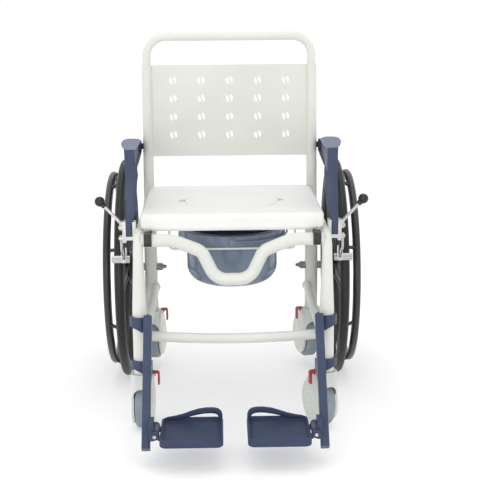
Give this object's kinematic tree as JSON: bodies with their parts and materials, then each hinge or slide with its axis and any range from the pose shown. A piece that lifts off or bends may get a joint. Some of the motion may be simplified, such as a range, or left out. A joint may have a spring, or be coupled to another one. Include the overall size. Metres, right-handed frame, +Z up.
{
  "type": "shower commode wheelchair",
  "caption": "Self-propelled shower commode chair: tube frame, open seat with lid and pan, spoked drive wheels, braked casters, flip-up arms and swing-away footrests.",
  "frame": {"origin": "on the floor, under the middle of the chair's overall box", "axes": "+Z up, -Y to the chair's front, +X to the sitter's left"},
  "size_m": [0.659, 1.0214, 0.927],
  "materials": {
    "frame_coat": "powder coat, satin",
    "panel_plastic": "fine moulded grain",
    "seat_plastic": "smooth satin moulding",
    "pan_plastic": "glossy moulding",
    "blue_plastic": "fine moulded grain",
    "black_plastic": "moulded",
    "plated_steel": "bright plating",
    "zinc_steel": "zinc plated",
    "tyre_rubber": "ribbed solid tyre",
    "rim_alloy": "black anodised",
    "spoke_plastic": "moulded",
    "push_rim_coat": "black coat",
    "caster_plastic": "smooth moulding",
    "caster_rubber": "grey tread",
    "pedal_plastic": "moulded"
  },
  "bodies": {
    "frame": {"side_tube_right": "frame_coat", "side_tube_left": "frame_coat", "rear_leg_right": "frame_coat", "rear_leg_left": "frame_coat", "lower_rails": "frame_coat", "front_cross_tube": "frame_coat", "lower_cross_tube": "frame_coat", "rear_cross_tube": "frame_coat", "backrest_hoop": "frame_coat", "back_panel": "panel_plastic", "axle_receivers": "zinc_steel", "axle_pins": "zinc_steel", "arm_pivots": "black_plastic", "arm_fork_right": "zinc_steel", "arm_fork_left": "zinc_steel", "seat": "seat_plastic", "seat_clips": "black_plastic", "pan_carrier": "frame_coat"},
    "seat_lid": {"seat_lid": "seat_plastic"},
    "pan": {"pan": "pan_plastic"},
    "pan_bail": {"pan_bail": "pan_plastic"},
    "drive_wheel_right": {"tyre_right": "tyre_rubber", "rim_right": "rim_alloy", "hub_right": "zinc_steel", "spokes_right": "spoke_plastic", "push_rim_right": "push_rim_coat"},
    "axle_button_right": {"axle_button_right": "plated_steel"},
    "armrest_right": {"armrest_right": "blue_plastic"},
    "lock_lever_right": {"lock_lever_right": "plated_steel", "lock_knob_right": "black_plastic"},
    "lock_shoe_right": {"lock_shoe_right": "plated_steel"},
    "hanger_right": {"footrest_hanger_right": "blue_plastic", "hinge_pin_right": "plated_steel"},
    "footplate_right": {"footplate_right": "blue_plastic"},
    "drive_wheel_left": {"tyre_left": "tyre_rubber", "rim_left": "rim_alloy", "hub_left": "zinc_steel", "spokes_left": "spoke_plastic", "push_rim_left": "push_rim_coat"},
    "axle_button_left": {"axle_button_left": "plated_steel"},
    "armrest_left": {"armrest_left": "blue_plastic"},
    "lock_lever_left": {"lock_lever_left": "plated_steel", "lock_knob_left": "black_plastic"},
    "lock_shoe_left": {"lock_shoe_left": "plated_steel"},
    "hanger_left": {"footrest_hanger_left": "blue_plastic", "hinge_pin_left": "plated_steel"},
    "footplate_left": {"footplate_left": "blue_plastic"},
    "caster_front_right": {"caster_front_right_hood": "caster_plastic"},
    "caster_front_right_roller": {"caster_front_right_wheel": "caster_rubber"},
    "caster_front_right_brake": {"caster_front_right_pedal": "pedal_plastic"},
    "caster_front_left": {"caster_front_left_hood": "caster_plastic"},
    "caster_front_left_roller": {"caster_front_left_wheel": "caster_rubber"},
    "caster_front_left_brake": {"caster_front_left_pedal": "pedal_plastic"},
    "caster_rear_right": {"caster_rear_right_hood": "caster_plastic"},
    "caster_rear_right_roller": {"caster_rear_right_wheel": "caster_rubber"},
    "caster_rear_right_brake": {"caster_rear_right_pedal": "pedal_plastic"},
    "caster_rear_left": {"caster_rear_left_hood": "caster_plastic"},
    "caster_rear_left_roller": {"caster_rear_left_wheel": "caster_rubber"},
    "caster_rear_left_brake": {"caster_rear_left_pedal": "pedal_plastic"}
  },
  "joints": [
    {"name": "lid_lift", "type": "slide", "parent": "frame", "child": "seat_lid", "axis": [0, 0, 1], "range_m": [0, 0.08]},
    {"name": "pan_slide", "type": "slide", "parent": "frame", "child": "pan", "axis": [0, 1, 0], "range_m": [0, 0.3]},
    {"name": "bail_swing", "type": "hinge", "parent": "pan", "child": "pan_bail", "pos_m": [0, -0.04175, 0.445], "axis": [0, -1, 0], "range_deg": [0, 4]},
    {"name": "drive_wheel_right_spin", "type": "hinge", "parent": "frame", "child": "drive_wheel_right", "pos_m": [0.283, 0.21525, 0.2955], "axis": [1, 0, 0], "continuous": true},
    {"name": "axle_button_right_press", "type": "slide", "parent": "frame", "child": "axle_button_right", "axis": [-1, 0, 0], "range_m": [0, 0.003], "stiffness_N_per_m": 900},
    {"name": "armrest_right_flip", "type": "hinge", "parent": "frame", "child": "armrest_right", "pos_m": [0.2505, 0.22108, 0.6275], "axis": [-1, 0, 0], "range_deg": [0, 80]},
    {"name": "lock_lever_right_turn", "type": "hinge", "parent": "frame", "child": "lock_lever_right", "pos_m": [0.267, -0.14975, 0.478], "axis": [1, 0, 0], "range_deg": [0, 35]},
    {"name": "lock_shoe_right_turn", "type": "hinge", "parent": "frame", "child": "lock_shoe_right", "pos_m": [0.267, -0.14975, 0.452], "axis": [1, 0, 0], "range_deg": [0, 12]},
    {"name": "hanger_right_swing", "type": "hinge", "parent": "frame", "child": "hanger_right", "pos_m": [0.22, -0.25675, 0.2535], "axis": [0, 0, 1], "range_deg": [0, 90]},
    {"name": "footplate_right_flip", "type": "hinge", "parent": "hanger_right", "child": "footplate_right", "pos_m": [0.178, -0.47075, 0.077], "axis": [0, 1, 0], "range_deg": [0, 80]},
    {"name": "drive_wheel_left_spin", "type": "hinge", "parent": "frame", "child": "drive_wheel_left", "pos_m": [-0.283, 0.21525, 0.2955], "axis": [1, 0, 0], "continuous": true},
    {"name": "axle_button_left_press", "type": "slide", "parent": "frame", "child": "axle_button_left", "axis": [1, 0, 0], "range_m": [0, 0.003], "stiffness_N_per_m": 900},
    {"name": "armrest_left_flip", "type": "hinge", "parent": "frame", "child": "armrest_left", "pos_m": [-0.2505, 0.22108, 0.6275], "axis": [-1, 0, 0], "range_deg": [0, 80]},
    {"name": "lock_lever_left_turn", "type": "hinge", "parent": "frame", "child": "lock_lever_left", "pos_m": [-0.267, -0.14975, 0.478], "axis": [1, 0, 0], "range_deg": [0, 35]},
    {"name": "lock_shoe_left_turn", "type": "hinge", "parent": "frame", "child": "lock_shoe_left", "pos_m": [-0.267, -0.14975, 0.452], "axis": [1, 0, 0], "range_deg": [0, 12]},
    {"name": "hanger_left_swing", "type": "hinge", "parent": "frame", "child": "hanger_left", "pos_m": [-0.22, -0.25675, 0.2535], "axis": [0, 0, -1], "range_deg": [0, 90]},
    {"name": "footplate_left_flip", "type": "hinge", "parent": "hanger_left", "child": "footplate_left", "pos_m": [-0.178, -0.47075, 0.077], "axis": [0, -1, 0], "range_deg": [0, 80]},
    {"name": "caster_front_right_swivel", "type": "hinge", "parent": "frame", "child": "caster_front_right", "pos_m": [0.22, -0.25675, 0.148], "axis": [0, 0, 1], "continuous": true},
    {"name": "caster_front_right_roll", "type": "hinge", "parent": "caster_front_right", "child": "caster_front_right_roller", "pos_m": [0.20763, -0.22082, 0.0625], "axis": [0.9455, 0.3256, 0], "continuous": true},
    {"name": "caster_front_right_pedal_press", "type": "hinge", "parent": "caster_front_right", "child": "caster_front_right_brake", "pos_m": [0.1922, -0.26632, 0.1436], "axis": [0.3256, -0.9455, 0], "range_deg": [0, 14]},
    {"name": "caster_front_left_swivel", "type": "hinge", "parent": "frame", "child": "caster_front_left", "pos_m": [-0.22, -0.25675, 0.148], "axis": [0, 0, 1], "continuous": true},
    {"name": "caster_front_left_roll", "type": "hinge", "parent": "caster_front_left", "child": "caster_front_left_roller", "pos_m": [-0.21867, -0.21877, 0.0625], "axis": [0.9994, -0.0349, 0], "continuous": true},
    {"name": "caster_front_left_pedal_press", "type": "hinge", "parent": "caster_front_left", "child": "caster_front_left_brake", "pos_m": [-0.19062, -0.25778, 0.1436], "axis": [0.0349, 0.9994, 0], "range_deg": [0, 14]},
    {"name": "caster_rear_right_swivel", "type": "hinge", "parent": "frame", "child": "caster_rear_right", "pos_m": [0.22, 0.21525, 0.1735], "axis": [0, 0, 1], "range_deg": [-22, 106]},
    {"name": "caster_rear_right_roll", "type": "hinge", "parent": "caster_rear_right", "child": "caster_rear_right_roller", "pos_m": [0.21081, 0.25212, 0.088], "axis": [0.9703, 0.2419, 0], "continuous": true},
    {"name": "caster_rear_right_pedal_press", "type": "hinge", "parent": "caster_rear_right", "child": "caster_rear_right_brake", "pos_m": [0.19147, 0.20814, 0.1691], "axis": [0.2419, -0.9703, 0], "range_deg": [0, 14]},
    {"name": "caster_rear_left_swivel", "type": "hinge", "parent": "frame", "child": "caster_rear_left", "pos_m": [-0.22, 0.21525, 0.1735], "axis": [0, 0, 1], "range_deg": [-114, 14]},
    {"name": "caster_rear_left_roll", "type": "hinge", "parent": "caster_rear_left", "child": "caster_rear_left_roller", "pos_m": [-0.21603, 0.25304, 0.088], "axis": [0.9945, -0.1045, 0], "continuous": true},
    {"name": "caster_rear_left_pedal_press", "type": "hinge", "parent": "caster_rear_left", "child": "caster_rear_left_brake", "pos_m": [-0.19076, 0.21218, 0.1691], "axis": [0.1045, 0.9945, 0], "range_deg": [0, 14]}
  ],
  "couplings": [
    {"joint": "lock_shoe_right_turn", "follows": "lock_lever_right_turn", "ratio": 0.34286},
    {"joint": "lock_shoe_left_turn", "follows": "lock_lever_left_turn", "ratio": 0.34286}
  ]
}
